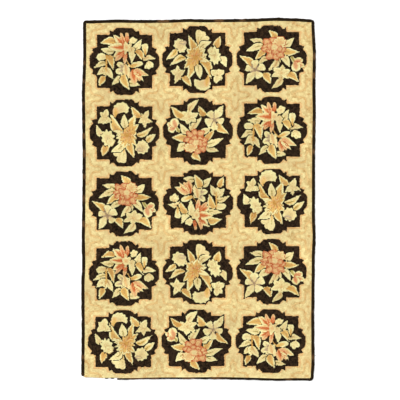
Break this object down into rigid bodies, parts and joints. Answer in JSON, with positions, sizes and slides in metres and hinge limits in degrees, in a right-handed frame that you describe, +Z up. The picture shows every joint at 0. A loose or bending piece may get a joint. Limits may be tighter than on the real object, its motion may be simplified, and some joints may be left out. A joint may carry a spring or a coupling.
{
  "type": "hooked rug",
  "caption": "Flat rectangular hooked wool rug with flower bouquets in stepped dark medallions on a cream ground, its edge whipped in dark yarn.",
  "frame": {"origin": "the middle of the underside, which lies on the floor", "axes": "+X across the rug to the picture's right, +Y along the rug to the picture's top, +Z up out of the pile"},
  "size_m": [1.228, 1.9014, 0.009],
  "materials": {
    "wool_cream": "matte",
    "wool_dark": "matte",
    "wool_peach": "matte",
    "wool_tan": "matte",
    "wool_ivory": "matte",
    "wool_gold": "matte",
    "wool_coral": "matte",
    "wool_pink": "matte",
    "wool_lilac": "matte",
    "wool_olive": "matte",
    "edge_yarn": "matte",
    "foundation_cloth": "matte"
  },
  "bodies": {
    "root": {"hooked_field": "wool_cream", "edge_binding": "edge_yarn"}
  },
  "joints": []
}
